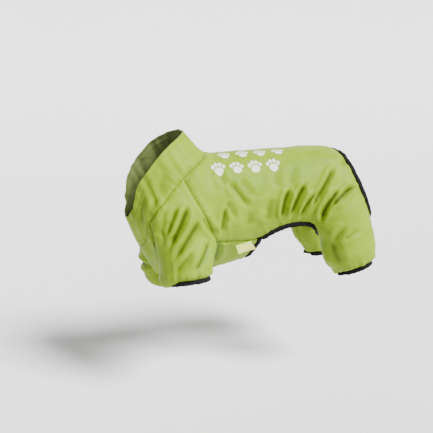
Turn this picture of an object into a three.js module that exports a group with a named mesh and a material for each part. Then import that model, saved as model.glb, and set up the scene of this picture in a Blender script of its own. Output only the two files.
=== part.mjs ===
// Four-legged jumpsuit for a small dog, standing in its worn shape with nothing inside it.
// Millimetres. +X runs to the tail, -Y to the wearer's left, +Z up. The origin is the inside
// of the back, halfway along, where the cloth lies on the wearer.
import * as THREE from "three";

// ---------- Driving dimensions ----------
const WALL = 1.8; // shell cloth with its mesh lining
const SEAM_GAP = 0.3; // clearance between two pieces at a seam
const BINDING_WIDTH = 7.2; // folded elastic tape over each raw edge
const BINDING_THICKNESS = 3.2;
const BINDING_LEAN = 0.45; // how far its pull turns it from the cloth's slope to hang straight
const BLEND = 22; // how far the cloth bridges the hollows of the trunk and neck
const FRONT_LEG_BLEND = 20; // the hollow where a front leg joins them
const HIND_LEG_BLEND = 18; // and the one where a hind leg does
const LEFT = -1;
const RIGHT = 1;

const v3 = (x, y, z) => new THREE.Vector3(x, y, z);
const clamp = (value, low, high) => Math.min(high, Math.max(low, value));
const lerp = (a, b, t) => a + (b - a) * t;
const smooth = (t) => t * t * (3 - 2 * t);
const degrees = (value) => (value * Math.PI) / 180;

// A row of a table at any value of its first column, by cubic interpolation of the others.
function rowAt(rows, key, value) {
  const last = rows.length - 1;
  const at = clamp(value, rows[0][key], rows[last][key]);
  let i = 0;
  while (i < last - 1 && at > rows[i + 1][key]) i += 1;
  const span = rows[i + 1][key] - rows[i][key];
  const t = (at - rows[i][key]) / span;
  const out = {};
  for (const name of Object.keys(rows[0])) {
    const slope = (k) => {
      const a = Math.max(0, k - 1);
      const b = Math.min(last, k + 1);
      return (rows[b][name] - rows[a][name]) / (rows[b][key] - rows[a][key]);
    };
    const rise = rows[i + 1][name] - rows[i][name];
    const bend = t * (1 - t);
    out[name] =
      rows[i][name] +
      rise * smooth(t) +
      bend * span * (slope(i) * (1 - t) - slope(i + 1) * t);
  }
  return out;
}

// ---------- The general figure that gives the cloth its worn shape ----------
// Trunk, cut across its length.
const TRUNK = [
  { x: -150, top: -30, bottom: -154, half: 47, keel: 0.75 },
  { x: -120, top: -7, bottom: -160, half: 55, keel: 0.78 },
  { x: -80, top: -1, bottom: -157, half: 57, keel: 0.62 },
  { x: -40, top: 0, bottom: -149, half: 55, keel: 0.35 },
  { x: 0, top: 0.9, bottom: -136, half: 53, keel: 0.2 },
  { x: 45, top: 1.6, bottom: -122, half: 53, keel: 0.1 },
  { x: 85, top: 0, bottom: -110, half: 54, keel: 0 },
  { x: 112, top: -9, bottom: -104, half: 53, keel: 0 },
  { x: 140, top: -34, bottom: -98, half: 46, keel: 0 },
];
const CHEST = { centre: v3(-116, 0, -98), radii: v3(54, 37, 60) };
// Neck, cut across its own axis; along is the distance from the neck seam's plane.
const NECK_CENTRE = v3(-133, 0, -61);
const NECK_AXIS = v3(-0.805, 0, 0.593);
const NECK_DEPTH = v3(0.593, 0, 0.805);
const NECK_LEAN = 0.45; // how far the neck shifts along its depth for each step along its axis
const NECK = [
  { along: -30, deep: 66, wide: 44 },
  { along: 0, deep: 70, wide: 47 },
  { along: 24, deep: 69, wide: 46 },
  { along: 44, deep: 64, wide: 42 },
  { along: 66, deep: 58, wide: 38 },
  { along: 90, deep: 55, wide: 36 },
];
// Legs, cut across; y is the same on both sides. The right front sleeve hangs lower than the left,
// which has ridden up, and the right hind leg stands a little further forward. Near its cuff a
// leg's cuts are tilted: pitch lifts the back and roll lifts the outside, in degrees.
const FRONT_LEGS = {
  [LEFT]: {
    cuff: { z: -152, pitch: 2.5, roll: 13 },
    cuts: [
      { z: -200, x: -127, y: 56, long: 27, wide: 25 },
      { z: -154, x: -127.2, y: 56, long: 28, wide: 26 },
      { z: -150, x: -127.4, y: 56, long: 28.4, wide: 26.3 },
      { z: -142, x: -128, y: 55, long: 31.5, wide: 29 },
      { z: -130, x: -127.5, y: 53, long: 33.5, wide: 30 },
      { z: -114, x: -126, y: 49, long: 35.5, wide: 30 },
      { z: -92, x: -129, y: 42, long: 38.5, wide: 27 },
      { z: -60, x: -134, y: 32, long: 36, wide: 24 },
      { z: -24, x: -134, y: 12, long: 18, wide: 8 },
    ],
  },
  [RIGHT]: {
    cuff: { z: -185, pitch: -2, roll: 3 },
    cuts: [
      { z: -230, x: -120, y: 55, long: 26.5, wide: 25 },
      { z: -188, x: -121, y: 55, long: 28, wide: 26 },
      { z: -183, x: -121.5, y: 55, long: 29, wide: 26.5 },
      { z: -174, x: -124, y: 56, long: 35.5, wide: 29 },
      { z: -161, x: -126, y: 56.5, long: 37, wide: 29 },
      { z: -140, x: -127, y: 55, long: 37, wide: 28.5 },
      { z: -120, x: -127, y: 50, long: 37, wide: 29 },
      { z: -100, x: -129, y: 43, long: 38.5, wide: 27 },
      { z: -60, x: -134, y: 32, long: 36, wide: 24 },
      { z: -24, x: -134, y: 12, long: 18, wide: 8 },
    ],
  },
};
const HIND_CUTS = [
  { z: -204, x: 113.5, y: 52, long: 20, wide: 20 },
  { z: -160, x: 113.5, y: 52, long: 20.5, wide: 21 },
  { z: -155, x: 113, y: 52, long: 21.5, wide: 21.8 },
  { z: -146, x: 109, y: 52, long: 29, wide: 26 },
  { z: -132, x: 105, y: 51, long: 35.5, wide: 28 },
  { z: -116, x: 101, y: 49, long: 37.5, wide: 29 },
  { z: -98, x: 95.5, y: 46, long: 39, wide: 29 },
  { z: -70, x: 93, y: 39, long: 36, wide: 27 },
  { z: -20, x: 84, y: 14, long: 20, wide: 10 },
];
const HIND_LEGS = {
  [LEFT]: { cuff: { z: -157, pitch: 19, roll: 11 }, cuts: HIND_CUTS },
  [RIGHT]: { cuff: { z: -160, pitch: 10, roll: 4 }, cuts: HIND_CUTS, forward: 5 },
};
const CUFF_TILT_REACH = 45; // how far above a cuff its tilt fades out
const STRIDE_TOP = -60; // a leg that stands forward leans out from this height down

// Roughly the distance to an ellipse of half-axes a and b.
function toEllipse(p, q, a, b) {
  const share = Math.hypot(p / a, q / b);
  const steep = Math.hypot(p / (a * a), q / (b * b));
  return steep < 1e-9 ? -Math.min(a, b) : (share * (share - 1)) / steep;
}

function toTrunk(p) {
  const cut = rowAt(TRUNK, "x", p.x);
  const middle = (cut.top + cut.bottom) / 2;
  const tall = (cut.top - cut.bottom) / 2;
  const below = clamp((middle - p.z) / tall, 0, 1.3);
  const half = cut.half * (1 - cut.keel * below * below);
  const ends = Math.max(TRUNK[0].x - p.x, p.x - TRUNK.at(-1).x);
  return Math.max(toEllipse(p.y, p.z - middle, half, tall), ends);
}

function toChest(p) {
  const { centre: c, radii: r } = CHEST;
  const d = v3(p.x - c.x, p.y, p.z - c.z);
  const share = Math.hypot(d.x / r.x, d.y / r.y, d.z / r.z);
  const steep = Math.hypot(d.x / r.x ** 2, d.y / r.y ** 2, d.z / r.z ** 2);
  return steep < 1e-9 ? -r.y : (share * (share - 1)) / steep;
}

function toNeck(p) {
  const d = p.clone().sub(NECK_CENTRE);
  const along = d.dot(NECK_AXIS);
  const cut = rowAt(NECK, "along", along);
  const ends = Math.max(NECK[0].along - along, along - NECK.at(-1).along);
  const across = d.dot(NECK_DEPTH) - NECK_LEAN * along;
  return Math.max(toEllipse(d.y, across, cut.wide, cut.deep), ends);
}

// How far a leg has stepped forward at the height z.
function strideAt(leg, z) {
  return (leg.forward ?? 0) * clamp((STRIDE_TOP - z) / (STRIDE_TOP - leg.cuff.z), 0, 1);
}

// A height with the tilt of the leg's cuts taken out.
function levelled(leg, p, side) {
  const { z, pitch, roll } = leg.cuff;
  const middle = rowAt(leg.cuts, "z", z);
  const back = (p.x - middle.x + strideAt(leg, z)) * Math.tan(degrees(pitch));
  const out = (p.y * side - middle.y) * Math.tan(degrees(roll));
  const share = smooth(clamp((z + CUFF_TILT_REACH - p.z) / CUFF_TILT_REACH, 0, 1));
  return p.z - (back + out) * share;
}

function toLeg(p, leg, side) {
  const z = levelled(leg, p, side);
  const cut = rowAt(leg.cuts, "z", z);
  const ends = Math.max(leg.cuts[0].z - z, z - leg.cuts.at(-1).z);
  const along = p.x - cut.x + strideAt(leg, z);
  return Math.max(toEllipse(along, p.y * side - cut.y, cut.long, cut.wide), ends);
}

function blended(a, b, reach) {
  const h = Math.max(reach - Math.abs(a - b), 0) / reach;
  return Math.min(a, b) - (h * h * reach) / 4;
}

function toFigure(p) {
  const side = p.y < 0 ? LEFT : RIGHT;
  const trunk = blended(blended(toTrunk(p), toChest(p), BLEND), toNeck(p), BLEND);
  const front = blended(trunk, toLeg(p, FRONT_LEGS[side], side), FRONT_LEG_BLEND);
  return blended(front, toLeg(p, HIND_LEGS[side], side), HIND_LEG_BLEND);
}

function slopeAt(p) {
  const step = 0.4;
  const along = (dx, dy, dz) =>
    toFigure(v3(p.x + dx, p.y + dy, p.z + dz)) -
    toFigure(v3(p.x - dx, p.y - dy, p.z - dz));
  return v3(along(step, 0, 0), along(0, step, 0), along(0, 0, step)).divideScalar(2 * step);
}

function ontoFigure(p, steps = 5) {
  const q = p.clone();
  for (let i = 0; i < steps; i += 1) {
    const slope = slopeAt(q);
    const away = clamp(toFigure(q), -12, 12);
    q.addScaledVector(slope, -away / Math.max(slope.lengthSq(), 0.05));
  }
  return q;
}

const outwardAt = (p) => slopeAt(p).normalize();

// ---------- Seam lines, laid on the figure ----------
class Line {
  constructor(points) {
    this.points = points;
    this.reach = [0];
    for (let i = 1; i < points.length; i += 1) {
      this.reach.push(this.reach[i - 1] + points[i].distanceTo(points[i - 1]));
    }
  }
  at(t) {
    const goal = clamp(t, 0, 1) * this.reach.at(-1);
    let i = 1;
    while (i < this.points.length - 1 && this.reach[i] < goal) i += 1;
    const share = (goal - this.reach[i - 1]) / (this.reach[i] - this.reach[i - 1]);
    return this.points[i - 1].clone().lerp(this.points[i], share);
  }
  // count + 1 points, evenly spaced.
  split(count) {
    return Array.from({ length: count + 1 }, (_, i) => this.at(i / count));
  }
}

const LINE_STEPS = 160;

// A smooth line through the points of a table, pressed onto the figure.
function laidLine(rows, side) {
  const points = rows.map((r) => v3(r.x, r.y * side, r.z));
  const curve = new THREE.CatmullRomCurve3(points, false, "centripetal");
  return new Line(curve.getSpacedPoints(LINE_STEPS).map((p) => ontoFigure(p)));
}

// The neck seam dips at the breast and the nape: turn is 0 at the breast and 180 at the nape.
const NECK_SEAM = { deep: 70, wide: 46, lift: 21 };
const FRONT_RAGLAN_TURN = 60;
const BACK_RAGLAN_TURN = 112;

function neckPoint(turn, side, above = 0) {
  const angle = degrees(turn);
  const along = NECK_SEAM.lift * Math.sin(angle) ** 2 + above;
  const p = NECK_CENTRE.clone()
    .addScaledVector(NECK_DEPTH, NECK_LEAN * along - NECK_SEAM.deep * Math.cos(angle))
    .addScaledVector(NECK_AXIS, along);
  p.y = side * NECK_SEAM.wide * Math.sin(angle);
  return ontoFigure(p);
}

function turnsFrom(from, to) {
  return Array.from({ length: LINE_STEPS + 1 }, (_, i) => lerp(from, to, i / LINE_STEPS));
}

const neckLine = (from, to, side) =>
  new Line(turnsFrom(from, to).map((turn) => neckPoint(turn, side)));

// Seam lines: each row is a point a line passes through, with y given for one side.
const UNDERARM = { x: -87, y: 52, z: -107 };
const BACK_RAGLAN = [
  { x: -103, y: 56, z: -73 },
  { x: -95, y: 56, z: -91 },
];
const FRONT_RAGLAN = [
  { x: -171, y: 47, z: -87 },
  { x: -168.5, y: 46, z: -103 },
  { x: -164.5, y: 42, z: -119 },
  { x: -161, y: 37.5, z: -131 },
  { x: -155, y: 31, z: -144 },
  { x: -145, y: 24.5, z: -150.5 },
  { x: -130, y: 22, z: -154.5 },
  { x: -115, y: 24.5, z: -154 },
  { x: -103, y: 30.5, z: -148.5 },
  { x: -95, y: 39, z: -138 },
  { x: -89.5, y: 47.5, z: -121 },
];
const SIDE_SEAM = [{ x: -60, y: 50, z: -111 }];
const BELLY_CORNER = { x: -21.5, y: 41.5, z: -111.5 };
const FLANK_CORNER = { x: 60, y: 42, z: -107 };
const SEAT_CORNER = { x: 130, y: 42, z: -98 };
// The rim of the one opening, from the tail round the seat and the thigh to under the belly.
const RIM_START = { x: 101, y: 0, z: -4 };
const SEAT_RIM = [
  { x: 102, y: 17, z: -6 },
  { x: 105, y: 33, z: -17 },
  { x: 110, y: 45, z: -33 },
  { x: 117, y: 51, z: -51 },
  { x: 124, y: 53, z: -70 },
  { x: 128.5, y: 50, z: -86 },
];
const THIGH_RIM = [
  { x: 122, y: 31, z: -109 },
  { x: 107, y: 24, z: -116 },
  { x: 90, y: 22, z: -119 },
  { x: 73, y: 28, z: -116 },
];
const FLANK_RIM = [
  { x: 53, y: 47, z: -98 },
  { x: 44, y: 45, z: -94.6 },
  { x: 32, y: 45.4, z: -92 },
  { x: 15.3, y: 46.2, z: -93.5 },
  { x: 0.7, y: 45.5, z: -98 },
  { x: -10, y: 44.5, z: -102.6 },
];
const BELLY_RIM = [
  { x: -25, y: 36, z: -122 },
  { x: -30, y: 20, z: -137.5 },
  { x: -31, y: 0, z: -142 },
];
const SHIN = [
  { x: 64, y: 42, z: -122 },
  { x: 74, y: 43, z: -140 },
];
const HEEL = [
  { x: 135, y: 44, z: -118 },
  { x: 136, y: 45, z: -137 },
];

// The underarm seam runs down the back of the sleeve to this turn of its cuff.
const UNDERARM_SEAM = {
  [LEFT]: [{ x: -93, y: 50, z: -127 }],
  [RIGHT]: [
    { x: -92, y: 50, z: -130 },
    { x: -93, y: 50, z: -155 },
  ],
};
const FRONT_CUFF_TURN = 352;
// The outer half of a hind cuff runs between the turns where the inner leg begins and ends.
const HIND_CUFF_FRONT_TURN = 200;
const HIND_CUFF_BACK_TURN = 335;

// A point of a cuff: turn is 0 at its back, 90 outside, 180 at its front.
function cuffPoint(leg, turn, side) {
  const { z, pitch, roll } = leg.cuff;
  const cut = rowAt(leg.cuts, "z", z);
  const along = cut.long * Math.cos(degrees(turn));
  const out = cut.wide * Math.sin(degrees(turn));
  const rise = along * Math.tan(degrees(pitch)) + out * Math.tan(degrees(roll));
  return v3(cut.x - strideAt(leg, z) + along, side * (cut.y + out), z + rise);
}

const cuffLine = (leg, from, to, side) =>
  new Line(turnsFrom(from, to).map((turn) => cuffPoint(leg, turn, side)));

const reversed = (points) => [...points].reverse();
// Joins runs of points that meet end to end.
const chained = (...runs) => runs.flatMap((run, i) => (i ? run.slice(1) : run));

// How many steps each line is cut into; pieces that meet along a line share its points.
const STEPS = {
  spine: 20,
  breast: 7,
  shoulder: 12,
  underarm: 13,
  nape: 7,
  frontRaglan: 17,
  backRaglan: 7,
  sideSeam: 9,
  flank: 20,
  shin: 8,
  outerCuff: 14,
  innerCuff: 10,
  seat: 9,
  heel: 8,
  bellyRim: 7,
};

// Cuts the rim of the opening at its corners.
function rimOf(side) {
  const rows = [
    RIM_START, ...SEAT_RIM, SEAT_CORNER, ...THIGH_RIM, FLANK_CORNER, ...FLANK_RIM,
    BELLY_CORNER, ...BELLY_RIM,
  ];
  const fine = laidLine(rows, side).points;
  const nearest = (corner) => {
    const goal = v3(corner.x, corner.y * side, corner.z);
    const gaps = fine.map((p) => p.distanceTo(goal));
    return gaps.indexOf(Math.min(...gaps));
  };
  const cuts = [0, nearest(SEAT_CORNER), nearest(FLANK_CORNER), nearest(BELLY_CORNER), LINE_STEPS];
  const run = (k, count) => new Line(fine.slice(cuts[k], cuts[k + 1] + 1)).split(count);
  return {
    seat: run(0, STEPS.seat),
    thigh: run(1, STEPS.innerCuff),
    flank: run(2, STEPS.flank),
    belly: run(3, STEPS.bellyRim),
  };
}

const row = (p, side) => ({ x: p.x, y: p.y * side, z: p.z });

function linesOf(side) {
  const rim = rimOf(side);
  const leg = HIND_LEGS[side];
  const [front, back] = [HIND_CUFF_FRONT_TURN, HIND_CUFF_BACK_TURN];
  const frontCuff = cuffLine(FRONT_LEGS[side], FRONT_CUFF_TURN, FRONT_CUFF_TURN - 360, side);
  const napeLine = neckLine(180, BACK_RAGLAN_TURN, side);
  const shoulder = neckLine(BACK_RAGLAN_TURN, FRONT_RAGLAN_TURN, side);
  const breast = neckLine(FRONT_RAGLAN_TURN, 0, side);
  const corner = (name) => row(rim[name][0], side);
  const shin = laidLine([corner("flank"), ...SHIN, row(cuffPoint(leg, front, side), side)], side);
  const heel = laidLine([corner("thigh"), ...HEEL, row(cuffPoint(leg, back, side), side)], side);
  const shoulderBack = row(shoulder.at(0), side);
  const shoulderFront = row(shoulder.at(1), side);
  return {
    ...rim,
    nape: napeLine.split(STEPS.nape),
    shoulder: shoulder.split(STEPS.shoulder),
    breast: breast.split(STEPS.breast),
    backRaglan: laidLine([shoulderBack, ...BACK_RAGLAN, UNDERARM], side).split(STEPS.backRaglan),
    frontRaglan: laidLine([shoulderFront, ...FRONT_RAGLAN, UNDERARM], side).split(STEPS.frontRaglan),
    side: laidLine([UNDERARM, ...SIDE_SEAM, corner("belly")], side).split(STEPS.sideSeam),
    underarm: laidLine([UNDERARM, ...UNDERARM_SEAM[side], row(frontCuff.at(0), side)], side).split(
      STEPS.underarm,
    ),
    frontCuff: frontCuff.split(STEPS.frontRaglan + STEPS.shoulder + STEPS.backRaglan),
    shin: shin.split(STEPS.shin),
    heel: heel.split(STEPS.heel),
    outerCuff: cuffLine(leg, front, back - 360, side).split(STEPS.outerCuff),
    innerCuff: cuffLine(leg, back, front, side).split(STEPS.innerCuff),
  };
}

const LINES = { [LEFT]: linesOf(LEFT), [RIGHT]: linesOf(RIGHT) };
for (const lines of Object.values(LINES)) {
  lines.shin[STEPS.shin] = lines.outerCuff[0];
  lines.heel[STEPS.heel] = lines.outerCuff[STEPS.outerCuff];
  lines.underarm[STEPS.underarm] = lines.frontCuff[0];
  lines.backRaglan[0] = lines.shoulder[0];
  lines.frontRaglan[0] = lines.shoulder[STEPS.shoulder];
  lines.backRaglan[STEPS.backRaglan] = lines.side[0];
  lines.frontRaglan[STEPS.frontRaglan] = lines.side[0];
}

// ---------- Folds in the worn cloth ----------
// Each crease runs from one point to another over a side of the garment, seen square on. Depth is
// how far its valley sinks, width its reach to either side, and bow its sideways bend.
const FOLDS = {
  [LEFT]: [
    { x0: -134, z0: -56, x1: -148, z1: -86, depth: 1.8, width: 5, bow: 1.5 },
    { x0: -122, z0: -76, x1: -140, z1: -98, depth: 1.6, width: 5, bow: 1 },
    { x0: -119, z0: -106, x1: -148, z1: -128, depth: 2, width: 6, bow: -2 },
    { x0: -112, z0: -60, x1: -90, z1: -98, depth: 1.6, width: 5, bow: 1 },
    { x0: -80, z0: -61, x1: -80, z1: -103, depth: 1.3, width: 6, bow: 1 },
    { x0: -72, z0: -30, x1: -46, z1: -70, depth: 1.6, width: 5, bow: 1.5 },
    { x0: 3, z0: -80, x1: 14, z1: -46, depth: 1.9, width: 4.8, bow: -1 },
    { x0: 16, z0: -78, x1: 31, z1: -42, depth: 1.9, width: 4.8, bow: -1 },
    { x0: 34, z0: -80, x1: 58, z1: -46, depth: 1.7, width: 5, bow: -2 },
    { x0: 59, z0: -74, x1: 84, z1: -52, depth: 2.2, width: 5, bow: -2 },
    { x0: 84, z0: -52, x1: 108, z1: -47, depth: 1.9, width: 5, bow: -1 },
    { x0: 96, z0: -104, x1: 82, z1: -123, depth: 1.4, width: 5.5, bow: 1 },
  ],
  [RIGHT]: [
    { x0: -136, z0: -58, x1: -149, z1: -90, depth: 1.7, width: 5, bow: 1.5 },
    { x0: -123, z0: -80, x1: -140, z1: -102, depth: 1.7, width: 5, bow: 1 },
    { x0: -118, z0: -116, x1: -148, z1: -139, depth: 1.8, width: 6, bow: -2 },
    { x0: -104, z0: -157, x1: -148, z1: -162, depth: 2.6, width: 5.5, bow: 2 },
    { x0: -111, z0: -62, x1: -91, z1: -97, depth: 1.5, width: 5, bow: 1 },
    { x0: -75, z0: -33, x1: -50, z1: -72, depth: 1.7, width: 5, bow: 1.5 },
    { x0: 6, z0: -79, x1: 18, z1: -48, depth: 1.8, width: 4.8, bow: -1 },
    { x0: 22, z0: -77, x1: 38, z1: -43, depth: 1.9, width: 4.8, bow: -1 },
    { x0: 62, z0: -76, x1: 90, z1: -54, depth: 2.1, width: 5, bow: -2 },
    { x0: 90, z0: -54, x1: 110, z1: -50, depth: 1.7, width: 5, bow: -1 },
    { x0: 92, z0: -107, x1: 79, z1: -126, depth: 1.5, width: 5.5, bow: 1 },
  ],
};
const FOLD_TUCK = 18; // folds fade between the middle line and twice this far out

function foldAt(p, side) {
  let sum = 0;
  for (const f of FOLDS[side]) {
    const [dx, dz] = [f.x1 - f.x0, f.z1 - f.z0];
    const length = Math.hypot(dx, dz);
    const t = ((p.x - f.x0) * dx + (p.z - f.z0) * dz) / length ** 2;
    if (t < -0.1 || t > 1.1) continue;
    const bend = f.bow * 4 * t * (1 - t);
    const off = ((p.x - f.x0) * dz - (p.z - f.z0) * dx) / length - bend;
    const u = Math.abs(off) / f.width;
    if (u > 2.4) continue;
    const ends = smooth(clamp((t + 0.1) / 0.4, 0, 1)) * smooth(clamp((1.1 - t) / 0.4, 0, 1));
    sum += f.depth * ends * (0.45 * Math.exp(-((u - 1.5) ** 2) * 3) - Math.exp(-u * u * 1.6));
  }
  return sum * smooth(clamp(Math.abs(p.y) / FOLD_TUCK - 1, 0, 1));
}

// ---------- Cloth pieces ----------
// Fills the four sides of a piece with a grid and lays it on the figure.
function filled(top, bottom, left, right, passes = 10) {
  const columns = top.length - 1;
  const rows = left.length - 1;
  const grid = left.map((_, j) =>
    top.map((_, i) => {
      const [s, t] = [i / columns, j / rows];
      if (j === 0) return top[i];
      if (j === rows) return bottom[i];
      if (i === 0) return left[j];
      if (i === columns) return right[j];
      const p = v3(0, 0, 0)
        .addScaledVector(top[i], 1 - t)
        .addScaledVector(bottom[i], t)
        .addScaledVector(left[j], 1 - s)
        .addScaledVector(right[j], s)
        .addScaledVector(top[0], -(1 - s) * (1 - t))
        .addScaledVector(top[columns], -s * (1 - t))
        .addScaledVector(bottom[0], -(1 - s) * t)
        .addScaledVector(bottom[columns], -s * t);
      return ontoFigure(p, 8);
    }),
  );
  return relaxed(grid, passes);
}

// Evens out a grid's spacing while it stays on the figure; its edges stay put.
function relaxed(grid, passes) {
  const [lastRow, lastColumn] = [grid.length - 1, grid[0].length - 1];
  let now = grid;
  for (let n = 0; n < passes; n += 1) {
    now = now.map((line, j) =>
      line.map((p, i) => {
        if (j === 0 || j === lastRow || i === 0 || i === lastColumn) return p;
        const mean = line[i - 1].clone().add(line[i + 1]).add(now[j - 1][i]).add(now[j + 1][i]);
        return ontoFigure(p.clone().lerp(mean.divideScalar(4), 0.7), 1);
      }),
    );
  }
  return now;
}

// The four-sided cells of a grid, by the numbers of their points; round closes its columns.
function cellsOf(grid, round) {
  const columns = grid[0].length;
  const span = round ? columns : columns - 1;
  return grid.slice(1).flatMap((_, j) =>
    Array.from({ length: span }, (_, i) => {
      const next = (i + 1) % columns;
      return [j * columns + i, j * columns + next, (j + 1) * columns + next, (j + 1) * columns + i];
    }),
  );
}

// A closed wall on both sides of a sheet of cells; along its free edges it stops short by half a
// seam gap.
function wallOf(points, cells, thickness = WALL) {
  const normals = points.map((p) => outwardAt(p));
  const [a, b, c] = cells[0].map((k) => points[k]);
  const hand = Math.sign(b.clone().sub(a).cross(c.clone().sub(b)).dot(normals[cells[0][0]]));
  const edges = new Map();
  for (const cell of cells) {
    cell.forEach((from, k) => edges.set(`${from} ${cell[(k + 1) % 4]}`, [from, cell[(k + 1) % 4]]));
  }
  const free = [...edges.values()].filter(([from, to]) => !edges.has(`${to} ${from}`));
  const inward = points.map(() => []);
  for (const [from, to] of free) {
    const along = points[to].clone().sub(points[from]);
    for (const k of [from, to]) {
      inward[k].push(normals[k].clone().cross(along).multiplyScalar(hand).normalize());
    }
  }
  const middles = points.map((p, k) => {
    const middle = p.clone().addScaledVector(normals[k], foldAt(p, p.y < 0 ? LEFT : RIGHT));
    if (!inward[k].length) return middle;
    const [first, second] = inward[k];
    const share = SEAM_GAP / 2 / (1 + Math.max(0, first.dot(second)));
    return middle.addScaledVector(first.clone().add(second), share);
  });
  const positions = [thickness / 2, -thickness / 2].flatMap((away) =>
    middles.flatMap((p, k) => p.clone().addScaledVector(normals[k], away).toArray()),
  );
  const inner = points.length;
  const index = [];
  const quad = (p, q, r, s) => index.push(p, q, r, p, r, s);
  for (const [p, q, r, s] of cells) {
    quad(p, q, r, s);
    quad(inner + p, inner + s, inner + r, inner + q);
  }
  for (const [from, to] of free) quad(to, from, inner + from, inner + to);
  return facingOut(positions, index);
}

// A geometry whose faces point outwards, whichever way round its points ran.
function facingOut(positions, index) {
  const corner = (k) => v3(...positions.slice(3 * index[k], 3 * index[k] + 3));
  let volume = 0;
  for (let k = 0; k < index.length; k += 3) {
    volume += corner(k).dot(corner(k + 1).cross(corner(k + 2)));
  }
  const turned = index.map((_, k) => index[k - (k % 3) + [0, 2, 1][k % 3]]);
  const geometry = new THREE.BufferGeometry();
  geometry.setAttribute("position", new THREE.Float32BufferAttribute(positions, 3));
  geometry.setIndex(volume < 0 ? turned : index);
  geometry.computeVertexNormals();
  return geometry;
}

// Tape folded over an edge: a flattened section carried round a closed line just outside it.
const TAPE_SECTION = [
  { out: 0, up: -0.5 },
  { out: 0, up: 0.5 },
  { out: 0.72, up: 0.5 },
  { out: 1, up: 0.22 },
  { out: 1, up: -0.22 },
  { out: 0.72, up: -0.5 },
];

// The tape keeps to one hand of the edge; rough says roughly which way it lies at the first point.
function tapeRound(edge, rough) {
  const count = edge.length;
  const normals = edge.map((p) => outwardAt(p));
  const raw = edge.map((_, i) => {
    const along = edge[(i + 1) % count].clone().sub(edge[(i + count - 1) % count]);
    return normals[i].clone().cross(along).normalize();
  });
  if (raw[0].dot(rough) < 0) raw.forEach((way) => way.negate());
  const away = raw.map((_, i) =>
    v3(0, 0, 0).add(raw[(i + count - 1) % count]).add(raw[i]).add(raw[i]).add(raw[(i + 1) % count]),
  );
  const positions = edge.flatMap((p, i) => {
    const outward = away[i].normalize();
    outward.addScaledVector(normals[i], BINDING_LEAN * Math.max(0, -outward.z)).normalize();
    const lifted = p.clone().addScaledVector(normals[i], foldAt(p, p.y < 0 ? LEFT : RIGHT));
    return TAPE_SECTION.flatMap((corner) =>
      lifted
        .clone()
        .addScaledVector(outward, SEAM_GAP / 2 + corner.out * BINDING_WIDTH)
        .addScaledVector(normals[i], corner.up * BINDING_THICKNESS)
        .toArray(),
    );
  });
  const sides = TAPE_SECTION.length;
  const index = [];
  for (let i = 0; i < count; i += 1) {
    for (let k = 0; k < sides; k += 1) {
      const [a, b] = [i * sides + k, i * sides + ((k + 1) % sides)];
      const [c, d] = [((i + 1) % count) * sides + ((k + 1) % sides), ((i + 1) % count) * sides + k];
      index.push(a, b, c, a, c, d);
    }
  }
  return facingOut(positions, index);
}

const garment = new THREE.Group();
const SHELL = new THREE.MeshStandardMaterial({ color: 0x9fb54a, roughness: 0.55 });
const TAPE = new THREE.MeshStandardMaterial({ color: 0x16141a, roughness: 0.8 });
const LABEL = new THREE.MeshStandardMaterial({ color: 0xf4f6b4, roughness: 0.6 });

function sew(name, geometry, material) {
  const mesh = new THREE.Mesh(geometry, material);
  mesh.name = name;
  garment.add(mesh);
}

// The saddle: back, both flanks and the outer half of each hind leg, cut in one. Each half is a
// strip that bends down from the back into the leg, and the two join along the spine.
function saddleSheet() {
  const halves = [LEFT, RIGHT].map((side) => {
    const l = LINES[side];
    const spine = new Line(
      Array.from({ length: LINE_STEPS + 1 }, (_, i) =>
        ontoFigure(v3(lerp(l.nape[0].x, l.seat[0].x, i / LINE_STEPS), 0, 4)),
      ),
    ).split(STEPS.spine);
    spine[0] = l.nape[0];
    spine[STEPS.spine] = l.seat[0];
    const outer = chained(spine, l.seat, l.heel);
    const inner = chained(l.side, reversed(l.flank), l.shin);
    return filled(outer, inner, chained(l.nape, l.backRaglan), reversed(l.outerCuff), 20);
  });
  const [left, right] = halves;
  const count = left.flat().length;
  const joined = STEPS.spine + 1;
  const shared = (k) => (k < joined ? k : count + k - joined);
  const cells = [
    ...cellsOf(left, false),
    ...cellsOf(right, false).map((cell) => [...cell].reverse().map(shared)),
  ];
  return { points: [...left.flat(), ...right.flat().slice(joined)], cells };
}

function bellyGrid() {
  const [l, r] = [LINES[LEFT], LINES[RIGHT]];
  const sideOf = (lines) => chained(lines.frontRaglan, lines.side);
  const front = chained(l.breast, reversed(r.breast));
  const back = chained(l.belly, reversed(r.belly));
  return filled(sideOf(l), sideOf(r), front, back);
}

// A sleeve is cut flat and closed by its underarm seam: its columns run from the armhole and the
// neck down to the cuff.
function sleeveGrid(side) {
  const l = LINES[side];
  const top = chained(reversed(l.frontRaglan), reversed(l.shoulder), l.backRaglan);
  return filled(top, l.frontCuff, l.underarm, l.underarm, 20);
}

function innerLegGrid(side) {
  const l = LINES[side];
  return filled(l.thigh, l.innerCuff, l.heel, l.shin);
}

const COLLAR = { height: 40, rows: 5 };

function collarGrid() {
  const seam = [LEFT, RIGHT].map((side) => {
    const l = LINES[side];
    return chained(l.nape, l.shoulder, l.breast);
  });
  const loop = [...seam[0], ...reversed(seam[1]).slice(1, -1)];
  return Array.from({ length: COLLAR.rows + 1 }, (_, j) =>
    loop.map((p) => {
      const above = (COLLAR.height * j) / COLLAR.rows;
      const q = p.clone();
      q.addScaledVector(NECK_AXIS, above).addScaledVector(NECK_DEPTH, NECK_LEAN * above);
      return j ? ontoFigure(q) : p;
    }),
  );
}

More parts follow.
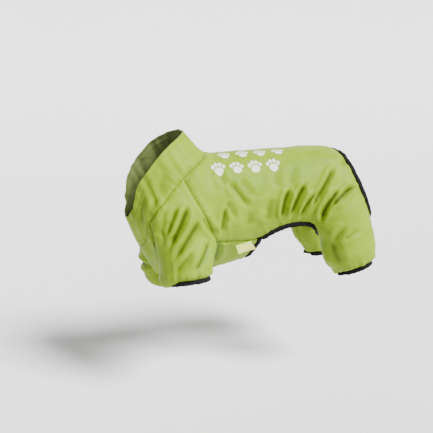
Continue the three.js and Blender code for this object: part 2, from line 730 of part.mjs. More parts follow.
const saddle = saddleSheet();
sew("saddle_panel", wallOf(saddle.points, saddle.cells), SHELL);
const grids = {
  belly_panel: bellyGrid(),
  sleeve_left: sleeveGrid(LEFT),
  sleeve_right: sleeveGrid(RIGHT),
  inner_leg_left: innerLegGrid(LEFT),
  inner_leg_right: innerLegGrid(RIGHT),
  collar: collarGrid(),
};
const ROUND = ["collar"];
for (const [name, grid] of Object.entries(grids)) {
  sew(name, wallOf(grid.flat(), cellsOf(grid, ROUND.includes(name))), SHELL);
}

// A blank tab hangs from the left side seam over the belly panel, standing off it more lower down.
const TAB = {
  thickness: 1,
  columns: 4,
  rows: 3,
  topLift: 1.8,
  bottomLift: 4.2,
  top: [{ x: -57, y: 43.8, z: -116.6 }, { x: -36.6, y: 45.4, z: -111.4 }],
  bottom: [{ x: -50.6, y: 35.4, z: -130 }, { x: -26.6, y: 36.7, z: -124.8 }],
};

function tabGrid() {
  const across = (ends, s) => v3(
    lerp(ends[0].x, ends[1].x, s),
    LEFT * lerp(ends[0].y, ends[1].y, s),
    lerp(ends[0].z, ends[1].z, s),
  );
  return Array.from({ length: TAB.rows + 1 }, (_, j) =>
    Array.from({ length: TAB.columns + 1 }, (_, i) => {
      const [s, t] = [i / TAB.columns, j / TAB.rows];
      const p = ontoFigure(across(TAB.top, s).lerp(across(TAB.bottom, s), t));
      return p.addScaledVector(outwardAt(p), lerp(TAB.topLift, TAB.bottomLift, t));
    }),
  );
}

const tab = tabGrid();
sew("side_tab", wallOf(tab.flat(), cellsOf(tab, false), TAB.thickness), LABEL);

// The rim's tape runs all the way round the opening.
function openingTape() {
  const half = (side) => {
    const l = LINES[side];
    return chained(l.seat, l.thigh, l.flank, l.belly);
  };
  return tapeRound([...half(LEFT), ...reversed(half(RIGHT)).slice(1, -1)], v3(1, 0, -1));
}

const cuffTape = (ring) => tapeRound(ring, v3(0, 0, -1));

sew("opening_binding", openingTape(), TAPE);
for (const [side, name] of [[LEFT, "left"], [RIGHT, "right"]]) {
  const l = LINES[side];
  sew(`cuff_binding_front_${name}`, cuffTape(l.frontCuff.slice(1)), TAPE);
  const ring = [...l.outerCuff, ...l.innerCuff.slice(1, -1)];
  sew(`cuff_binding_hind_${name}`, cuffTape(ring), TAPE);
}

export default garment;
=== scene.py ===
import math

import bpy
import numpy as np
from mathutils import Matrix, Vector


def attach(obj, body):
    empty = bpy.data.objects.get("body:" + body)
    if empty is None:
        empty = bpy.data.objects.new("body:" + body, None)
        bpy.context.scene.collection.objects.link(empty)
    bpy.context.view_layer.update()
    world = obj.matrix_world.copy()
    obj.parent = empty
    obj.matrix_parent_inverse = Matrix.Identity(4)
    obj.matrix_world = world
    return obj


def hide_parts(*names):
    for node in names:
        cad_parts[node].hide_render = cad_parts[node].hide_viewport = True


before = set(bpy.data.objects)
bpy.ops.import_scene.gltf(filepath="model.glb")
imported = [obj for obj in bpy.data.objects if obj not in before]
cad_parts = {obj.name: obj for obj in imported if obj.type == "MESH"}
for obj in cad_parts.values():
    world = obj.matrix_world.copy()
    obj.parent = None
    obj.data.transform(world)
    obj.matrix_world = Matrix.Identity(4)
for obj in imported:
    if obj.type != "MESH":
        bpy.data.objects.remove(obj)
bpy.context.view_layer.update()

# ---------------------------------------------------------------- Camera
# A long lens from the wearer's left, a little ahead of it and a little above,
# aimed at the middle of the garment.
camera_data = bpy.data.cameras.new("camera")
camera = bpy.data.objects.new("camera", camera_data)
bpy.context.scene.collection.objects.link(camera)
camera.location = (-0.38065, -1.01609, 0.1977)
line_of_sight = Vector((-0.070, 0.0, -0.087)) - camera.location
camera.rotation_euler = line_of_sight.to_track_quat("-Z", "Y").to_euler()
camera_data.sensor_width = 36
camera_data.lens = 67.74
camera_data.clip_start = 0.05
bpy.context.scene.camera = camera

# ---------------------------------------------------------------- Saddle
# The back, both flanks and the outer half of each hind leg, cut in one from a soft shell cloth.
# It is sewn to the collar, the sleeves and the belly panel, and bound with tape at its free edge.
# All the cloth hangs on one general figure, which has these cuts in millimetres.
FINE = 6
LINE_STEPS = 160
LEFT, RIGHT = -1, 1
SIDES = {"left": LEFT, "right": RIGHT}
WALL = 1.8

# x, top, bottom, half width, keel
TRUNK = np.array([
    (-150, -30, -154, 47, 0.75),
    (-120, -7, -160, 55, 0.78),
    (-80, -1, -157, 57, 0.62),
    (-40, 0, -149, 55, 0.35),
    (0, 0.9, -136, 53, 0.2),
    (45, 1.6, -122, 53, 0.1),
    (85, 0, -110, 54, 0),
    (112, -9, -104, 53, 0),
    (140, -34, -98, 46, 0),
])
CHEST_CENTRE = np.array([-116, 0, -98])
CHEST_RADII = np.array([54, 37, 60])
NECK_CENTRE = np.array([-133, 0, -61])
NECK_AXIS = np.array([-0.805, 0, 0.593])
NECK_DEPTH = np.array([0.593, 0, 0.805])
NECK_LEAN = 0.45
# along the neck, depth, width
NECK = np.array([
    (-30, 66, 44), (0, 70, 47), (24, 69, 46), (44, 64, 42), (66, 58, 38), (90, 55, 36),
])
# height, x, y, length, width
FRONT_CUTS = {
    LEFT: np.array([
        (-200, -127, 56, 27, 25),
        (-154, -127.2, 56, 28, 26),
        (-150, -127.4, 56, 28.4, 26.3),
        (-142, -128, 55, 31.5, 29),
        (-130, -127.5, 53, 33.5, 30),
        (-114, -126, 49, 35.5, 30),
        (-92, -129, 42, 38.5, 27),
        (-60, -134, 32, 36, 24),
        (-24, -134, 12, 18, 8),
    ]),
    RIGHT: np.array([
        (-230, -120, 55, 26.5, 25),
        (-188, -121, 55, 28, 26),
        (-183, -121.5, 55, 29, 26.5),
        (-174, -124, 56, 35.5, 29),
        (-161, -126, 56.5, 37, 29),
        (-140, -127, 55, 37, 28.5),
        (-120, -127, 50, 37, 29),
        (-100, -129, 43, 38.5, 27),
        (-60, -134, 32, 36, 24),
        (-24, -134, 12, 18, 8),
    ]),
}
HIND_CUTS = np.array([
    (-204, 113.5, 52, 20, 20),
    (-160, 113.5, 52, 20.5, 21),
    (-155, 113, 52, 21.5, 21.8),
    (-146, 109, 52, 29, 26),
    (-132, 105, 51, 35.5, 28),
    (-116, 101, 49, 37.5, 29),
    (-98, 95.5, 46, 39, 29),
    (-70, 93, 39, 36, 27),
    (-20, 84, 14, 20, 10),
])


class Leg:
    """A leg's cuts, with the height, pitch and roll of its cuff and how far it stands forward."""

    def __init__(self, cuts, z, pitch, roll, forward=0):
        self.cuts, self.z, self.forward = cuts, z, forward
        self.pitch, self.roll = math.tan(math.radians(pitch)), math.tan(math.radians(roll))
        self.middle = rows_at(cuts, np.array(z))

    def stride(self, z):
        return self.forward * np.clip((-60 - z) / (-60 - self.z), 0, 1)

    def depth(self, p, side):
        back = (p[..., 0] - self.middle[1] + self.stride(self.z)) * self.pitch
        out = (p[..., 1] * side - self.middle[2]) * self.roll
        z = p[..., 2] - (back + out) * smooth((self.z + 45 - p[..., 2]) / 45)
        cut = rows_at(self.cuts, z)
        ends = np.maximum(self.cuts[0, 0] - z, z - self.cuts[-1, 0])
        along = p[..., 0] - cut[..., 1] + self.stride(z)
        return np.maximum(
            to_ellipse(along, p[..., 1] * side - cut[..., 2], cut[..., 3], cut[..., 4]), ends
        )

    def cuff(self, turns, side):
        turns = np.radians(turns)
        along = self.middle[3] * np.cos(turns)
        out = self.middle[4] * np.sin(turns)
        rise = along * self.pitch + out * self.roll
        x = self.middle[1] - self.stride(self.z) + along
        return np.stack([x, side * (self.middle[2] + out), self.z + rise], -1)


def smooth(t):
    t = np.clip(t, 0, 1)
    return t * t * (3 - 2 * t)


def rows_at(rows, value):
    """The rows of a table at any values of its first column."""
    key = rows[:, 0]
    last = len(key) - 1
    at = np.clip(value, key[0], key[last])
    i = np.clip(np.searchsorted(key, at) - 1, 0, last - 1)
    before = np.maximum(np.arange(last + 1) - 1, 0)
    after = np.minimum(np.arange(last + 1) + 1, last)
    slopes = (rows[after] - rows[before]) / (key[after] - key[before])[:, None]
    span = (key[i + 1] - key[i])[..., None]
    t = (at - key[i])[..., None] / span
    bend = t * (1 - t) * span * (slopes[i] * (1 - t) - slopes[i + 1] * t)
    return rows[i] + (rows[i + 1] - rows[i]) * smooth(t) + bend


def to_ellipse(p, q, a, b):
    share = np.hypot(p / a, q / b)
    steep = np.hypot(p / (a * a), q / (b * b))
    return np.where(steep < 1e-9, -np.minimum(a, b), share * (share - 1) / np.maximum(steep, 1e-9))


def blended(a, b, reach):
    h = np.maximum(reach - np.abs(a - b), 0) / reach
    return np.minimum(a, b) - h * h * reach / 4


FRONT_LEGS = {
    LEFT: Leg(FRONT_CUTS[LEFT], -152, 2.5, 13),
    RIGHT: Leg(FRONT_CUTS[RIGHT], -185, -2, 3),
}
HIND_LEGS = {LEFT: Leg(HIND_CUTS, -157, 19, 11), RIGHT: Leg(HIND_CUTS, -160, 10, 4, forward=5)}


def to_figure(p):
    """How far points stand off the figure, in millimetres."""
    x, y, z = p[..., 0], p[..., 1], p[..., 2]
    cut = rows_at(TRUNK, x)
    middle = (cut[..., 1] + cut[..., 2]) / 2
    tall = (cut[..., 1] - cut[..., 2]) / 2
    below = np.clip((middle - z) / tall, 0, 1.3)
    half = cut[..., 3] * (1 - cut[..., 4] * below * below)
    trunk = np.maximum(to_ellipse(y, z - middle, half, tall), np.maximum(-150 - x, x - 140))
    d = p - CHEST_CENTRE
    share = np.linalg.norm(d / CHEST_RADII, axis=-1)
    steep = np.linalg.norm(d / CHEST_RADII**2, axis=-1)
    chest = share * (share - 1) / np.maximum(steep, 1e-9)
    d = p - NECK_CENTRE
    along = d @ NECK_AXIS
    cut = rows_at(NECK, along)
    across = d @ NECK_DEPTH - NECK_LEAN * along
    neck = np.maximum(to_ellipse(y, across, cut[..., 2], cut[..., 1]),
                      np.maximum(-30 - along, along - 90))
    body = blended(blended(trunk, chest, 22), neck, 22)
    front = np.where(y < 0, FRONT_LEGS[LEFT].depth(p, LEFT), FRONT_LEGS[RIGHT].depth(p, RIGHT))
    hind = np.where(y < 0, HIND_LEGS[LEFT].depth(p, LEFT), HIND_LEGS[RIGHT].depth(p, RIGHT))
    return blended(blended(body, front, 20), hind, 18)


def slope_at(p):
    steps = 0.4 * np.eye(3)
    return np.stack([to_figure(p + s) - to_figure(p - s) for s in steps], -1) / 0.8


def onto_figure(p, steps=5):
    for _ in range(steps):
        slope = slope_at(p)
        away = np.clip(to_figure(p), -12, 12) / np.maximum((slope**2).sum(-1), 0.05)
        p = p - slope * away[..., None]
    return p


def outward_at(p):
    slope = slope_at(p)
    return slope / np.linalg.norm(slope, axis=-1, keepdims=True)


def spaced(points, count):
    """A line as count steps of one length."""
    reach = np.concatenate([[0], np.cumsum(np.linalg.norm(np.diff(points, axis=0), axis=1))])
    goals = np.linspace(0, reach[-1], count + 1)
    return np.stack([np.interp(goals, reach, points[:, k]) for k in range(3)], -1)


def laid_line(rows, side):
    """A smooth line through a few points, pressed onto the figure."""
    points = np.array(rows, float) * (1, side, 1)
    ends = (2 * points[:1] - points[1:2], points, 2 * points[-1:] - points[-2:-1])
    p = np.concatenate(ends)
    t = np.linspace(0, 1, 41)[:, None]
    runs = []
    for k in range(1, len(p) - 2):
        a, b, c = np.maximum(np.sqrt(np.linalg.norm(np.diff(p[k - 1:k + 3], axis=0), axis=1)), 1e-4)
        rise = p[k + 1] - p[k]
        start = ((p[k] - p[k - 1]) / a - (p[k + 1] - p[k - 1]) / (a + b) + rise / b) * b
        stop = (rise / b - (p[k + 2] - p[k]) / (b + c) + (p[k + 2] - p[k + 1]) / c) * b
        runs.append(p[k] + start * t + (3 * rise - 2 * start - stop) * t**2
                    + (start + stop - 2 * rise) * t**3)
    return onto_figure(spaced(np.concatenate(runs), LINE_STEPS))


def neck_line(start, stop, side):
    turns = np.radians(np.linspace(start, stop, LINE_STEPS + 1))
    along = 21 * np.sin(turns) ** 2
    p = (NECK_CENTRE + np.outer(NECK_LEAN * along - 70 * np.cos(turns), NECK_DEPTH)
         + np.outer(along, NECK_AXIS))
    p[:, 1] = side * 46 * np.sin(turns)
    return onto_figure(p)


UNDERARM = (-87, 52, -107)
SEAT_RIM = [
    (101, 0, -4), (102, 17, -6), (105, 33, -17), (110, 45, -33), (117, 51, -51), (124, 53, -70),
    (128.5, 50, -86),
]
THIGH_RIM = [(130, 42, -98), (122, 31, -109), (107, 24, -116), (90, 22, -119), (73, 28, -116)]
FLANK_RIM = [
    (60, 42, -107), (53, 47, -98), (44, 45, -94.6), (32, 45.4, -92), (15.3, 46.2, -93.5),
    (0.7, 45.5, -98), (-10, 44.5, -102.6),
]
BELLY_RIM = [(-21.5, 41.5, -111.5), (-25, 36, -122), (-30, 20, -137.5), (-31, 0, -142)]
FRONT_RAGLAN = [
    (-171, 47, -87), (-168.5, 46, -103), (-164.5, 42, -119), (-161, 37.5, -131), (-155, 31, -144),
    (-145, 24.5, -150.5), (-130, 22, -154.5), (-115, 24.5, -154), (-103, 30.5, -148.5),
    (-95, 39, -138), (-89.5, 47.5, -121),
]
UNDERARM_SEAM = {LEFT: [(-93, 50, -127)], RIGHT: [(-92, 50, -130), (-93, 50, -155)]}
# How many steps each seam line is cut into, before the cloth is made finer.
STEPS = dict(
    spine=20, breast=7, shoulder=12, underarm=13, nape=7, front_raglan=17, back_raglan=7, side=9,
    flank=20, shin=8, outer_cuff=14, inner_cuff=10, seat=9, thigh=10, heel=8, belly=7,
    front_cuff=36,
)


def lines_of(side):
    """Every seam line of one side, as dense points."""
    rim = laid_line(SEAT_RIM + THIGH_RIM + FLANK_RIM + BELLY_RIM, side)
    corners = [THIGH_RIM[0], FLANK_RIM[0], BELLY_RIM[0]]
    cuts = [int(np.linalg.norm(rim - np.array(c) * (1, side, 1), axis=1).argmin()) for c in corners]
    cuts = [0, *cuts, LINE_STEPS]
    line = {name: rim[cuts[k]:cuts[k + 1] + 1]
            for k, name in enumerate(("seat", "thigh", "flank", "belly"))}
    line["nape"] = neck_line(180, 112, side)
    line["shoulder"] = neck_line(112, 60, side)
    line["breast"] = neck_line(60, 0, side)
    front, hind = FRONT_LEGS[side], HIND_LEGS[side]
    line["front_cuff"] = front.cuff(np.linspace(352, -8, LINE_STEPS + 1), side)
    line["outer_cuff"] = hind.cuff(np.linspace(200, -25, LINE_STEPS + 1), side)
    line["inner_cuff"] = hind.cuff(np.linspace(335, 200, LINE_STEPS + 1), side)
    same = lambda p: tuple(p * (1, side, 1))
    shoulder, cuff = line["shoulder"], line["outer_cuff"]
    line["back_raglan"] = laid_line(
        [same(shoulder[0]), (-103, 56, -73), (-95, 56, -91), UNDERARM], side)
    line["front_raglan"] = laid_line([same(shoulder[-1]), *FRONT_RAGLAN, UNDERARM], side)
    line["side"] = laid_line([UNDERARM, (-60, 50, -111), same(line["belly"][0])], side)
    line["underarm"] = laid_line(
        [UNDERARM, *UNDERARM_SEAM[side], same(line["front_cuff"][0])], side)
    line["shin"] = laid_line(
        [same(line["flank"][0]), (64, 42, -122), (74, 43, -140), same(cuff[0])], side)
    line["heel"] = laid_line(
        [same(line["thigh"][0]), (135, 44, -118), (136, 45, -137), same(cuff[-1])], side)
    line["shin"][-1], line["heel"][-1] = cuff[0], cuff[-1]
    line["underarm"][-1] = line["front_cuff"][0]
    return line


LINES = {side: lines_of(side) for side in (LEFT, RIGHT)}


def cut_line(side, name, fine):
    points = LINES[side][name[1:] if name[0] == "-" else name]
    steps = STEPS[name[1:] if name[0] == "-" else name] * fine
    run = spaced(points, steps)
    return run[::-1] if name[0] == "-" else run


def chained(side, names, fine):
    runs = [cut_line(side, name, fine) for name in names.split()]
    return np.concatenate([runs[0]] + [run[1:] for run in runs[1:]])


def filled(edges, fine, passes):
    """Lays a grid of cloth between four edges: top, bottom, left and right."""
    top, bottom, left, right = [edge(1) for edge in edges]
    s = np.linspace(0, 1, len(top))[None, :, None]
    t = np.linspace(0, 1, len(left))[:, None, None]
    grid = (top[None] * (1 - t) + bottom[None] * t + left[:, None] * (1 - s) + right[:, None] * s
            - top[0] * (1 - s) * (1 - t) - top[-1] * s * (1 - t)
            - bottom[0] * (1 - s) * t - bottom[-1] * s * t)
    grid = relaxed(framed(onto_figure(grid, 8), top, bottom, left, right), passes)
    rows, columns = grid.shape[:2]
    j = np.linspace(0, rows - 1, (rows - 1) * fine + 1)
    i = np.linspace(0, columns - 1, (columns - 1) * fine + 1)
    grid = np.stack([np.stack([np.interp(j, range(rows), grid[:, c, k]) for c in range(columns)], 1)
                     for k in range(3)], -1)
    grid = np.stack([np.stack([np.interp(i, range(columns), line[:, k]) for line in grid], 0)
                     for k in range(3)], -1)
    grid = framed(onto_figure(grid, 4), *[edge(fine) for edge in edges])
    return relaxed(grid, 12)


def framed(grid, top, bottom, left, right):
    grid = grid.copy()
    grid[:, 0], grid[:, -1] = left, right
    grid[0], grid[-1] = top, bottom
    return grid


def relaxed(grid, passes):
    for _ in range(passes):
        mean = (grid[:-2, 1:-1] + grid[2:, 1:-1] + grid[1:-1, :-2] + grid[1:-1, 2:]) / 4
        grid = grid.copy()
        grid[1:-1, 1:-1] = onto_figure(grid[1:-1, 1:-1] * 0.3 + mean * 0.7, 1)
    return grid


def cells_of(rows, columns, closed=False):
    j, i = np.mgrid[0:rows - 1, 0:columns if closed else columns - 1]
    after = (i + 1) % columns
    corners = [j * columns + i, j * columns + after, (j + 1) * columns + after,
               (j + 1) * columns + i]
    return np.stack(corners, -1).reshape(-1, 4)


# Creases of the worn cloth: the points that a crease runs through, either seen square on from the
# side or in full, then how deep its valley sinks and how wide it is, both in millimetres.
CREASES = {
    LEFT: [
        # over the front sleeve
        ([(-123, -51), (-131, -66), (-138, -80), (-147, -95), (-153, -108)], 4.0, 3.6),
        ([(-138, -53), (-145, -67), (-150, -80), (-155, -93)], 2.8, 3.2),
        ([(-109, -68), (-119, -83), (-131, -97), (-142, -110), (-150, -122)], 3.6, 4.0),
        ([(-153, -66), (-157, -80), (-160, -95)], 2.0, 4.2),
        ([(-122, -107), (-132, -117), (-141, -126), (-149, -136)], 2.4, 3.6),
        ([(-98, -97), (-106, -111), (-115, -123), (-127, -136)], 3.0, 4.2),
        ([(-95, -119), (-100, -130), (-107, -140)], 2.0, 3.4),
        # beside the raglan seam
        ([(-109, -66), (-102, -79), (-94, -90), (-89, -99)], 2.4, 3.6),
        ([(-73, -56), (-77, -70), (-79, -82), (-80, -96)], 3.0, 3.0),
        # across the back and the flank
        ([(-70, -27), (-58, -41), (-49, -53), (-42, -66)], 2.4, 3.8),
        ([(-54, -27), (-44, -40), (-36, -52)], 1.8, 4.0),
        ([(-78, -16), (-76, -24), (-71, -36)], 1.8, 3.6),
        ([(-75, -52), (-68, -63), (-61, -76)], 2.0, 3.4),
        ([(-41, -66), (-42, -90)], 1.8, 8.0),
        ([(-10, -50), (-14, -68), (-16, -88)], 2.2, 6.5),
        ([(17, -40), (9, -55), (5, -68), (3, -85)], 4.2, 3.2),
        ([(40, -35), (30, -49), (23, -63), (15, -83)], 4.4, 3.2),
        ([(53, -47), (42, -61), (35, -73), (30, -87)], 3.6, 3.0),
        ([(84, -16), (70, -33), (60, -47), (51, -60), (43, -75)], 3.8, 3.0),
        ([(27, -13), (19, -30), (15, -44)], 1.4, 5.0),
        ([(0, -18), (-5, -42)], 1.2, 5.0),
        # where the thigh bends forward
        ([(84, -44), (74, -57), (63, -70), (59, -79), (58, -92)], 4.8, 3.2),
        ([(111, -46), (98, -48), (86, -56), (75, -64), (68, -72)], 4.2, 3.2),
        ([(104, -9), (92, -22)], 1.4, 4.5),
        ([(89, -94), (78, -103), (72, -118)], 2.2, 4.0),
        ([(108, -98), (93, -106), (82, -112)], 1.8, 3.4),
        ([(70, -112), (75, -132), (84, -150)], 2.4, 6.5),
        # in the hollows beside the sleeve and under the collar
        ([(-171, -44, -84), (-167, -48, -98), (-163, -53, -111)], 1.8, 3.6),
        ([(-163, -44, -42), (-166, -47, -54), (-169, -47, -63), (-172, -45, -76)], 1.6, 4.2),
        ([(-83, -55, -101), (-83, -49, -113), (-81, -36, -128), (-78, -21, -144)], 2.6, 3.6),
        ([(-189, -25, -50), (-187, -20, -72), (-183, -18, -94)], 1.6, 5.0),
        ([(-176, -38, -40), (-180, -35, -60), (-178, -31, -84)], 1.6, 5.0),
        ([(-150, -44, -12), (-156, -46, -30), (-160, -47, -44)], 1.4, 5.0),
        ([(-112, -45, 3), (-118, -48, -16), (-126, -50, -32)], 1.4, 5.0),
    ],
    RIGHT: [
        ([(-126, -52), (-134, -68), (-142, -84), (-150, -102)], 3.8, 3.6),
        ([(-141, -55), (-149, -72), (-154, -90)], 2.6, 3.4),
        ([(-110, -72), (-121, -88), (-134, -103), (-146, -117)], 3.4, 4.0),
        ([(-121, -110), (-134, -122), (-147, -134)], 2.6, 3.8),
        ([(-97, -101), (-106, -117), (-118, -133)], 2.8, 4.2),
        ([(-94, 80, -156), (-112, 88, -160), (-134, 84, -162), (-152, 74, -162), (-161, 60, -161),
          (-162, 49, -161), (-158, 42, -161), (-154, 37, -160), (-148, 32, -159)], 3.8, 3.6),
        ([(-108, -64), (-100, -80), (-92, -94)], 2.4, 3.6),
        ([(-71, -58), (-75, -73), (-78, -95)], 2.8, 3.2),
        ([(-66, -29), (-55, -43), (-45, -60)], 2.4, 3.8),
        ([(-79, -18), (-74, -36)], 1.6, 3.6),
        ([(-72, -55), (-63, -70), (-58, -80)], 2.0, 3.4),
        ([(-8, -52), (-13, -86)], 2.0, 6.5),
        ([(20, -38), (11, -56), (5, -84)], 4.0, 3.2),
        ([(44, -37), (33, -52), (20, -84)], 4.2, 3.2),
        ([(86, -19), (68, -39), (54, -60), (46, -76)], 3.6, 3.0),
        ([(87, -47), (76, -60), (66, -73), (61, -92)], 4.6, 3.2),
        ([(110, -50), (96, -53), (80, -66), (72, -76)], 3.8, 3.2),
        ([(102, -12), (90, -26)], 1.4, 4.5),
        ([(92, -97), (80, -107), (74, -120)], 2.2, 4.0),
        ([(69, -110), (74, -132), (81, -150)], 2.2, 6.5),
        ([(-172, 44, -84), (-168, 48, -98), (-163, 53, -111)], 1.8, 3.6),
        ([(-164, 44, -42), (-169, 47, -62), (-172, 45, -76)], 1.6, 4.2),
        ([(-83, 55, -101), (-82, 48, -114), (-80, 34, -130), (-77, 20, -144)], 2.4, 3.6),
        ([(-188, 22, -54), (-186, 18, -78)], 1.6, 5.0),
        ([(-148, 44, -10), (-155, 46, -32)], 1.4, 5.0),
        ([(-114, 45, 2), (-121, 48, -22)], 1.4, 5.0),
    ],
}


def on_side(x, z, side):
    """The point of one side of the figure that is seen at this place square on."""
    near, far = np.zeros(len(x)), np.full(len(x), 115.0)
    for _ in range(22):
        middle = (near + far) / 2
        inside = to_figure(np.stack([x, side * middle, z], -1)) < 0
        near, far = np.where(inside, middle, near), np.where(inside, far, middle)
    return np.stack([x, side * near, z], -1)


def crease_line(rows, side):
    rows = np.array(rows, float)
    reach = np.concatenate([[0], np.cumsum(np.linalg.norm(np.diff(rows, axis=0), axis=1))])
    goals = np.linspace(0, reach[-1], 33)
    line = np.stack([np.interp(goals, reach, column) for column in rows.T], -1)
    for _ in range(6):
        line[1:-1] = (line[:-2] + line[2:]) / 2
    return onto_figure(line) if line.shape[1] == 3 else on_side(line[:, 0], line[:, 1], side)


CREASE_LINES = [(crease_line(rows, side), depth, width)
                for side in (LEFT, RIGHT) for rows, depth, width in CREASES[side]]


def creased(p):
    """How far the cloth sinks or rises in its creases, and how much painted shade darkens their
    valleys.
    """
    height, shade = np.zeros(len(p)), np.zeros(len(p))
    for line, depth, width in CREASE_LINES:
        low, high = line.min(0) - 5 * width, line.max(0) + 5 * width
        near = np.flatnonzero(((p > low) & (p < high)).all(1))
        if len(near) == 0:
            continue
        gap, along = near_line(p[near], line)
        t = along / np.linalg.norm(np.diff(line, axis=0), axis=1).sum()
        ends = smooth(t / 0.26) * smooth((1 - t) / 0.26)
        u = gap / width / (0.55 + 0.45 * ends)
        valley = np.exp(-1.5 * (np.sqrt(u * u + 0.5) - 0.707))
        ridge = np.exp(-(((u - 2.3) / 1.1) ** 2))
        height[near] += depth * ends * (0.65 * ridge - 0.8 * valley * np.exp(-u * u * 0.25))
        # painted shade: each crease valley is darkened, more so for a deeper crease
        dark = depth / 3.8 * ends * np.exp(-((u * 1.2) ** 2))
        shade[near] = np.maximum(shade[near], dark)
    return height, shade


def ripples(p, length, count=18):
    """Soft uneven waves of about one length, between -1 and 1, the same for every piece."""
    pick = np.random.default_rng(length)
    ways = pick.normal(size=(count, 3))
    ways *= 2 * math.pi / length / np.linalg.norm(ways, axis=1, keepdims=True)
    ways *= pick.uniform(0.6, 1.4, (count, 1))
    starts = pick.uniform(0, 2 * math.pi, count)
    return np.sin(p @ ways.T + starts).sum(1) / math.sqrt(count) * 0.7


def near_line(p, line):
    """The distance from each point to a line, and how far along the line that is."""
    reach = np.concatenate([[0], np.cumsum(np.linalg.norm(np.diff(line, axis=0), axis=1))])
    nearest = np.concatenate([
        ((part[:, None] - line[None]) ** 2).sum(-1).argmin(1) for part in np.array_split(p, 40)
    ])
    best = np.full(len(p), 1e9)
    along = np.zeros(len(p))
    for shift in (-1, 0):
        k = np.clip(nearest + shift, 0, len(line) - 2)
        step = line[k + 1] - line[k]
        t = ((p - line[k]) * step).sum(1) / np.maximum((step**2).sum(1), 1e-9)
        t = np.clip(t, 0, 1)
        gap = np.linalg.norm(p - line[k] - step * t[:, None], axis=1)
        closer = gap < best
        best = np.where(closer, gap, best)
        along = np.where(closer, reach[k] + t * (reach[k + 1] - reach[k]), along)
    return best, along


def gathers(along, seed):
    """Uneven little waves along a line, between about -1 and 1."""
    pick = np.random.default_rng(seed)
    waves = [(math.pi * 2 / length, pick.uniform(0, 6.28)) for length in (7.3, 10.1, 14.7, 23.0)]
    bend = 1.6 * np.sin(along / 31 + pick.uniform(0, 6.28))
    return sum(np.sin(along * k + start + bend) for k, start in waves) / 2.4


def line_seed(side, name):
    return 40 + sorted(STEPS).index(name) * 2 + (side > 0)


SEWN = "nape shoulder breast front_raglan back_raglan side underarm shin heel".split()
BOUND = "seat thigh flank belly front_cuff outer_cuff inner_cuff".split()


def hung(points):
    """The worn cloth's height above the figure, and the painted shade in its creases, seams and
    gathers.
    """
    height, shade = creased(points)
    height += 0.5 * ripples(points, 30) + 0.16 * ripples(points, 11)
    seam = np.full(len(points), 1e9)
    for side in (LEFT, RIGHT):
        for name in SEWN + BOUND:
            line = LINES[side][name]
            near = ((points > line.min(0) - 20) & (points < line.max(0) + 20)).all(1)
            near = np.flatnonzero(near)
            if len(near) == 0:
                continue
            gap, along = near_line(points[near], line)
            waves = gathers(along, line_seed(side, name))
            if name in SEWN:
                height[near] += 0.75 * waves * np.exp(-gap / 6) * (1 - np.exp(-((gap / 1.5) ** 2)))
                seam[near] = np.minimum(seam[near], gap)
                continue
            height[near] -= 1.3 * np.exp(-((gap / 5) ** 2))
            reach = 8 if "cuff" in name else 6
            swell = np.exp(-gap / reach) * (1 - np.exp(-((gap / 4.5) ** 2)))
            height[near] += 2.2 * waves * swell
            # painted shade in the valleys of the gathers beside the tape
            shade[near] = np.maximum(shade[near], 0.5 * np.clip(-waves, 0, 1) * swell * 2)
            if "cuff" in name:
                height[near] += 2.8 * np.exp(-(((gap - 7) / 5) ** 2))
    height -= 1.1 * np.exp(-((seam / 1.4) ** 2)) + 0.6 * np.exp(-((seam / 4.5) ** 2))
    height += 0.5 * np.exp(-(((seam - 5.5) / 3) ** 2))
    # painted shade along the sunken valley of every sewn seam
    return height, np.maximum(shade, 0.55 * np.exp(-((seam / 1.3) ** 2)))


def shell_mesh(name, points, normals, height, cells, thick=1.1, stand=WALL / 2):
    """A closed thin sheet: its outer face, its lining face and its cut edges."""
    outer = points + normals * (height + stand)[:, None]
    cross = np.cross(outer[cells[:, 2]] - outer[cells[:, 0]], outer[cells[:, 3]] - outer[cells[:, 1]])
    if (cross * normals[cells[:, 0]]).sum() < 0:
        cells, cross = cells[:, ::-1], -cross
    facing = np.zeros_like(outer)
    for k in range(4):
        np.add.at(facing, cells[:, k], cross)
    facing /= np.maximum(np.linalg.norm(facing, axis=1, keepdims=True), 1e-9)
    inner = outer - facing * thick
    edges = np.stack([cells, np.roll(cells, -1, axis=1)], -1).reshape(-1, 2)
    count = len(points)
    forward = edges[:, 0] * count + edges[:, 1]
    free = edges[~np.isin(forward, edges[:, 1] * count + edges[:, 0])]
    sides = np.stack([free[:, 1], free[:, 0], free[:, 0] + count, free[:, 1] + count], -1)
    faces = np.concatenate([cells, cells[:, ::-1] + count, sides])
    mesh = bpy.data.meshes.new(name)
    mesh.from_pydata((np.concatenate([outer, inner]) / 1000).tolist(), [], faces.tolist())
    mesh.polygons.foreach_set("use_smooth", [True] * len(faces))
    mesh.polygons.foreach_set(
        "material_index", [0] * len(cells) + [1] * len(cells) + [0] * len(sides))
    mesh.set_sharp_from_angle(angle=math.radians(60))
    mesh.update()
    return mesh, outer


def weave_map(mesh, flat, depth=None):
    """Keeps where each point lies on the flat cloth, in metres, and the painted shade of its creases,
    seams and gathers.
    """
    layer = mesh.attributes.new("flat_cloth", "FLOAT_VECTOR", "POINT")
    both = np.concatenate([flat, flat]) / 1000
    layer.data.foreach_set("vector", both.ravel().tolist())
    # the painted shade is kept on every point, for the cloth's colour
    if depth is not None:
        layer = mesh.attributes.new("painted_crease_shade", "FLOAT", "POINT")
        layer.data.foreach_set("value", np.concatenate([depth, depth]).tolist())


def sheet_area(outer, cells):
    cross = np.cross(outer[cells[:, 2]] - outer[cells[:, 0]], outer[cells[:, 3]] - outer[cells[:, 1]])
    return np.linalg.norm(cross, axis=1).sum() / 2 / 1e6


